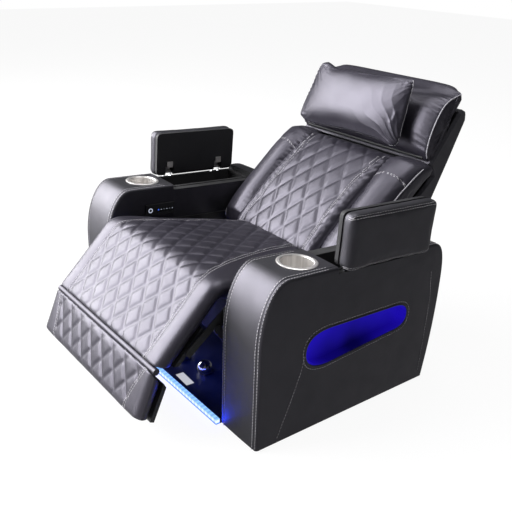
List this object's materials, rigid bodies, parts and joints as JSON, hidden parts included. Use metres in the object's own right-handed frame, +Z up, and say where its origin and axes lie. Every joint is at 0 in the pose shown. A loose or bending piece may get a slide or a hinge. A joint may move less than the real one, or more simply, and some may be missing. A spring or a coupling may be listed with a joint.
{
  "type": "cinema recliner seat",
  "caption": "Powered cinema recliner seat with quilted cushions, footrest, tilting headrest, pillow, lidded storage arms, cup holders and side lights.",
  "frame": {"origin": "middle of the base tray's underside, on the floor, halfway along the arms' base", "axes": "+Z up, -Y to the front where the sitter's feet point, +X to the sitter's left"},
  "size_m": [0.9906, 1.1626, 0.8346],
  "materials": {
    "seat_leather": "black bonded leather with a soft violet-grey shine",
    "arm_leather": "black smooth leather, less shiny",
    "board": "black covered board",
    "plastic": "black moulded plastic",
    "steel": "black painted steel",
    "stainless": "brushed stainless steel",
    "chrome": "bright chrome",
    "blue_light": "lit blue panel",
    "white_light": "lit cool white strip",
    "key_light": "backlit touch key"
  },
  "bodies": {
    "root": {"arm_cover_left": "arm_leather", "arm_cover_right": "arm_leather", "arm_frame_left": "board", "arm_frame_right": "board", "arm_base_left": "plastic", "arm_base_right": "plastic", "cup_holder_left": "stainless", "cup_holder_right": "stainless", "storage_bin_left": "plastic", "storage_bin_right": "plastic", "side_light_left": "blue_light", "side_light_right": "blue_light", "hinge_rail_left": "chrome", "hinge_rail_right": "chrome", "base_tray": "plastic", "light_strip": "white_light", "side_plate_left": "steel", "side_plate_right": "steel", "front_cross_tube": "steel", "rear_cross_tube": "steel", "seat_deck": "board", "seat_apron": "seat_leather", "seat_cushion": "seat_leather", "footrest_motor": "plastic", "recline_motor": "plastic", "control_bezel": "plastic"},
    "back": {"back_shell": "arm_leather", "back_frame": "steel", "back_panel": "seat_leather", "back_bolster_left": "seat_leather", "back_bolster_right": "seat_leather", "headrest_bar": "steel"},
    "headrest": {"headrest_pad": "seat_leather"},
    "pillow": {"pillow": "seat_leather"},
    "leg_rest": {"leg_pad": "seat_leather", "leg_board": "board", "leg_bracket_left": "steel", "leg_bracket_right": "steel"},
    "foot_flap": {"foot_pad": "seat_leather", "foot_board": "board"},
    "drive": {"drive_tube": "steel"},
    "link_left": {"footrest_link_left": "steel"},
    "link_right": {"footrest_link_right": "steel"},
    "footrest_rod": {"footrest_rod": "chrome"},
    "recline_rod": {"recline_rod": "chrome"},
    "lid_left": {"lid_board_left": "board", "lid_pad_left": "seat_leather", "lid_hinge_front_left": "chrome", "lid_hinge_rear_left": "chrome"},
    "lid_right": {"lid_board_right": "board", "lid_pad_right": "seat_leather", "lid_hinge_front_right": "chrome", "lid_hinge_rear_right": "chrome"},
    "power_button": {"power_button": "key_light"},
    "key_1": {"control_key_1": "key_light"},
    "key_2": {"control_key_2": "key_light"},
    "key_3": {"control_key_3": "key_light"},
    "key_4": {"control_key_4": "key_light"},
    "key_5": {"control_key_5": "key_light"},
    "key_6": {"control_key_6": "key_light"}
  },
  "joints": [
    {"name": "recline", "type": "hinge", "parent": "root", "child": "back", "pos_m": [0, 0.1885, 0.305], "axis": [-1, 0, 0], "range_deg": [-24, 22]},
    {"name": "headrest_tilt", "type": "hinge", "parent": "back", "child": "headrest", "pos_m": [0, 0.46255, 0.61635], "axis": [1, 0, 0], "range_deg": [0, 22]},
    {"name": "pillow_flip", "type": "hinge", "parent": "headrest", "child": "pillow", "pos_m": [0, 0.56, 0.8121], "axis": [-1, 0, 0], "range_deg": [0, 95]},
    {"name": "leg_lift", "type": "hinge", "parent": "root", "child": "leg_rest", "pos_m": [0, -0.2865, 0.335], "axis": [-1, 0, 0], "range_deg": [-44, 16]},
    {"name": "foot_fold", "type": "hinge", "parent": "leg_rest", "child": "foot_flap", "pos_m": [0, -0.49437, 0.21044], "axis": [-1, 0, 0], "range_deg": [-55, 20]},
    {"name": "drive_turn", "type": "hinge", "parent": "root", "child": "drive", "pos_m": [0, -0.1265, 0.11], "axis": [-1, 0, 0], "range_deg": [-44, 16]},
    {"name": "link_left_turn", "type": "hinge", "parent": "drive", "child": "link_left", "pos_m": [0.305, -0.16092, 0.06085], "axis": [-1, 0, 0], "range_deg": [-16, 44]},
    {"name": "link_right_turn", "type": "hinge", "parent": "drive", "child": "link_right", "pos_m": [-0.305, -0.16092, 0.06085], "axis": [-1, 0, 0], "range_deg": [-16, 44]},
    {"name": "footrest_rod_slide", "type": "slide", "parent": "root", "child": "footrest_rod", "axis": [0, -0.9796, -0.201], "range_m": [-0.03, 0.0115]},
    {"name": "recline_rod_slide", "type": "slide", "parent": "root", "child": "recline_rod", "axis": [0, 1, 0], "range_m": [-0.033, 0.036]},
    {"name": "lid_left_hinge", "type": "hinge", "parent": "root", "child": "lid_left", "pos_m": [0.462, -0.07136, 0.46331], "axis": [0, -0.9986, 0.0523], "range_deg": [0, 90]},
    {"name": "lid_right_hinge", "type": "hinge", "parent": "root", "child": "lid_right", "pos_m": [-0.462, -0.07136, 0.46331], "axis": [0, 0.9986, -0.0523], "range_deg": [0, 90]},
    {"name": "power_button_press", "type": "slide", "parent": "root", "child": "power_button", "axis": [-1, 0, 0], "range_m": [0, 0.0014], "stiffness_N_per_m": 400, "springref_m": -0.0005},
    {"name": "key_1_press", "type": "slide", "parent": "root", "child": "key_1", "axis": [-1, 0, 0], "range_m": [0, 0.0014], "stiffness_N_per_m": 400, "springref_m": -0.0005},
    {"name": "key_2_press", "type": "slide", "parent": "root", "child": "key_2", "axis": [-1, 0, 0], "range_m": [0, 0.0014], "stiffness_N_per_m": 400, "springref_m": -0.0005},
    {"name": "key_3_press", "type": "slide", "parent": "root", "child": "key_3", "axis": [-1, 0, 0], "range_m": [0, 0.0014], "stiffness_N_per_m": 400, "springref_m": -0.0005},
    {"name": "key_4_press", "type": "slide", "parent": "root", "child": "key_4", "axis": [-1, 0, 0], "range_m": [0, 0.0014], "stiffness_N_per_m": 400, "springref_m": -0.0005},
    {"name": "key_5_press", "type": "slide", "parent": "root", "child": "key_5", "axis": [-1, 0, 0], "range_m": [0, 0.0014], "stiffness_N_per_m": 400, "springref_m": -0.0005},
    {"name": "key_6_press", "type": "slide", "parent": "root", "child": "key_6", "axis": [-1, 0, 0], "range_m": [0, 0.0014], "stiffness_N_per_m": 400, "springref_m": -0.0005}
  ],
  "couplings": [
    {"joint": "foot_fold", "follows": "leg_lift", "ratio": 1.25},
    {"joint": "drive_turn", "follows": "leg_lift", "ratio": 1},
    {"joint": "link_left_turn", "follows": "leg_lift", "ratio": -1},
    {"joint": "link_right_turn", "follows": "leg_lift", "ratio": -1},
    {"joint": "footrest_rod_slide", "follows": "leg_lift", "m_per_rad": 0.038},
    {"joint": "recline_rod_slide", "follows": "recline", "m_per_rad": -0.083}
  ]
}
